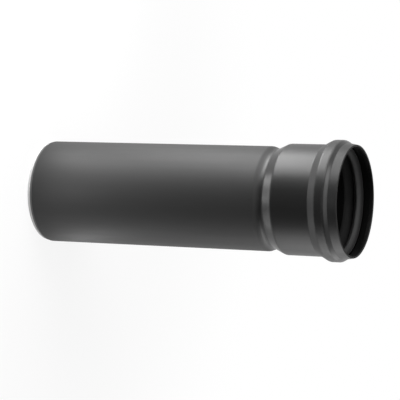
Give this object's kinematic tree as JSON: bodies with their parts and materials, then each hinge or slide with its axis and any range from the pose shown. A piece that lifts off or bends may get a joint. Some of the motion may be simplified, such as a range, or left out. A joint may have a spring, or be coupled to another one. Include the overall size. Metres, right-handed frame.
{
  "type": "air supply pipe",
  "caption": "Push-fit plastic air supply pipe: plain chamfered spigot, straight barrel, and a formed socket with a ring bead and a rubber lip seal.",
  "frame": {"origin": "centre of the spigot's end face, where the pipe stands", "axes": "+Z along the pipe from the spigot to the socket; round about Z, so X and Y are free"},
  "size_m": [0.0916, 0.0916, 0.258],
  "materials": {
    "pipe_plastic": "black polypropylene, dull on the drawn barrel and smoother on the formed socket",
    "seal_rubber": "black rubber, satin"
  },
  "bodies": {
    "root": {"pipe": "pipe_plastic", "lip_seal": "seal_rubber"}
  },
  "joints": []
}
